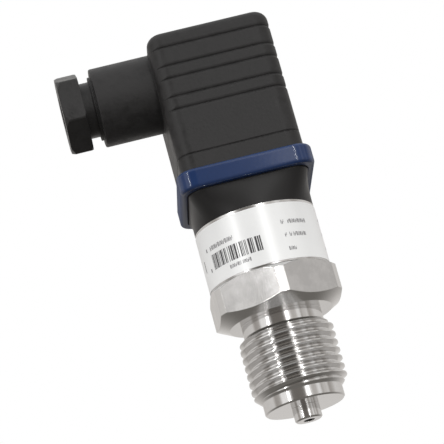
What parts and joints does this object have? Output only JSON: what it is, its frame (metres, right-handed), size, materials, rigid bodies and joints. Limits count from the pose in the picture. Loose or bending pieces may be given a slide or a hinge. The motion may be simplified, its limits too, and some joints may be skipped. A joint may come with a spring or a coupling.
{
  "type": "pressure transmitter",
  "caption": "Pressure transmitter with a round steel case on a hexagon, a G 1/2 pipe thread with pilot and spigot, a blue gasket and an angular plug with a side cable gland.",
  "frame": {"origin": "centre of the sealing shoulder, the lower face of the hexagon", "axes": "+Z along the instrument's axis from the thread up to the plug, -X towards the cable entry, -Y to the front"},
  "size_m": [0.0499, 0.03, 0.0894],
  "materials": {
    "turned_steel": "turned and polished stainless steel",
    "cell_steel": "turned stainless steel",
    "case_steel": "satin stainless tube",
    "label_foil": null,
    "seal_rubber": "black nitrile rubber",
    "lead_metal": "gilded leads",
    "inner_plastic": "natural plastic",
    "board_laminate": "green solder resist",
    "chip_plastic": "black moulded package",
    "capacitor_body": "brown ceramic",
    "base_plastic": "black moulded plastic, fine satin",
    "insert_brass": "turned brass",
    "pin_metal": "tinned brass",
    "gasket_rubber": "blue rubber with a soft gloss",
    "plug_plastic": "dark charcoal moulded plastic with a fine grain",
    "carrier_plastic": "black moulded plastic",
    "gland_plastic": "dark charcoal moulded plastic",
    "screw_steel": "zinc-plated steel"
  },
  "bodies": {
    "instrument": {"process_connection": "turned_steel", "cell_seal": "seal_rubber", "measuring_cell": "cell_steel", "retaining_ring": "cell_steel", "cell_leads": "lead_metal", "case_tube": "case_steel", "rating_label": "label_foil", "board_spacer": "inner_plastic", "circuit_board": "board_laminate", "amplifier_chip": "chip_plastic", "board_capacitors": "capacitor_body", "connector_base": "base_plastic", "base_seal": "seal_rubber", "screw_insert": "insert_brass", "contact_pin_1": "pin_metal", "contact_pin_2": "pin_metal", "contact_pin_3": "pin_metal", "earth_pin": "pin_metal", "profile_gasket": "gasket_rubber"},
    "plug": {"plug_housing": "plug_plastic", "contact_carrier": "carrier_plastic", "socket_contact_1": "pin_metal", "socket_contact_2": "pin_metal", "socket_contact_3": "pin_metal", "earth_socket": "pin_metal", "terminal_screws": "screw_steel", "gland_seal": "seal_rubber"},
    "screw_ring": {"screw_seal": "seal_rubber"},
    "screw": {"fixing_screw": "screw_steel"},
    "gland_ring": {"gland_washer": "screw_steel"},
    "gland": {"gland_screw": "gland_plastic"}
  },
  "joints": [
    {"name": "plug_pull", "type": "slide", "parent": "instrument", "child": "plug", "axis": [0, 0, 1], "range_m": [0, 0.02]},
    {"name": "screw_lift", "type": "slide", "parent": "plug", "child": "screw_ring", "axis": [0, 0, 1], "range_m": [0, 0.006]},
    {"name": "screw_turn", "type": "hinge", "parent": "screw_ring", "child": "screw", "pos_m": [0, 0, 0.064], "axis": [0, 0, 1], "range_deg": [0, 4321]},
    {"name": "gland_travel", "type": "slide", "parent": "plug", "child": "gland_ring", "axis": [-1, 0, 0], "range_m": [-0.002, 0.0053]},
    {"name": "gland_turn", "type": "hinge", "parent": "gland_ring", "child": "gland", "pos_m": [-0.03, 0, 0.05705], "axis": [-1, 0, 0], "range_deg": [-568, 1504]}
  ],
  "couplings": [
    {"joint": "screw_turn", "follows": "screw_lift", "rad_per_m": 12566},
    {"joint": "gland_turn", "follows": "gland_travel", "rad_per_m": 4947.4}
  ]
}
